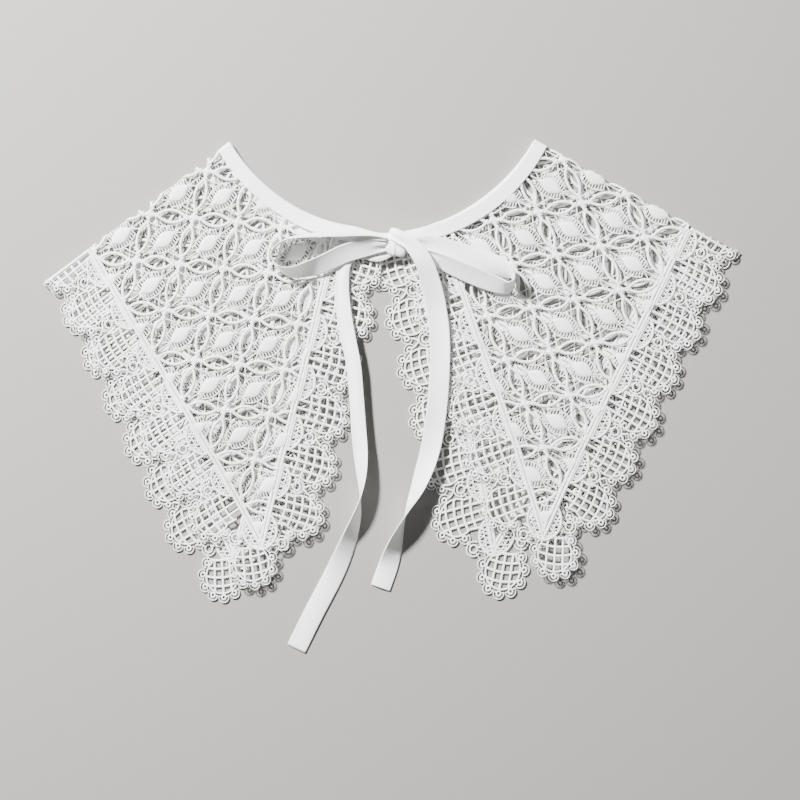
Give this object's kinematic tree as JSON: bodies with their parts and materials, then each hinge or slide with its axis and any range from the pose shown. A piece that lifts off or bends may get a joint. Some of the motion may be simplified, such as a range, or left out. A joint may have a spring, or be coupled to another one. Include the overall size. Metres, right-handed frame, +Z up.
{
  "type": "lace collar",
  "caption": "White guipure lace collar with pointed scalloped lappets, laid flat and folded at the shoulders, its ribbon neckband tied in a bow.",
  "frame": {"origin": "middle of the laid collar's outline, on the surface that it lies on", "axes": "+X across the collar from shoulder to shoulder, towards the right of the picture; +Y from the lappet tips to the neck, in the surface; +Z up from the surface"},
  "size_m": [0.4006, 0.2952, 0.0163],
  "materials": {
    "lace": "matte embroidered cotton",
    "ribbon": "soft satin"
  },
  "bodies": {
    "root": {"left_lace": "lace", "right_lace": "lace", "neckband": "ribbon", "bow_knot": "ribbon", "bow_loop_left": "ribbon", "bow_loop_right": "ribbon", "tie_tail_left": "ribbon", "tie_tail_right": "ribbon"}
  },
  "joints": []
}
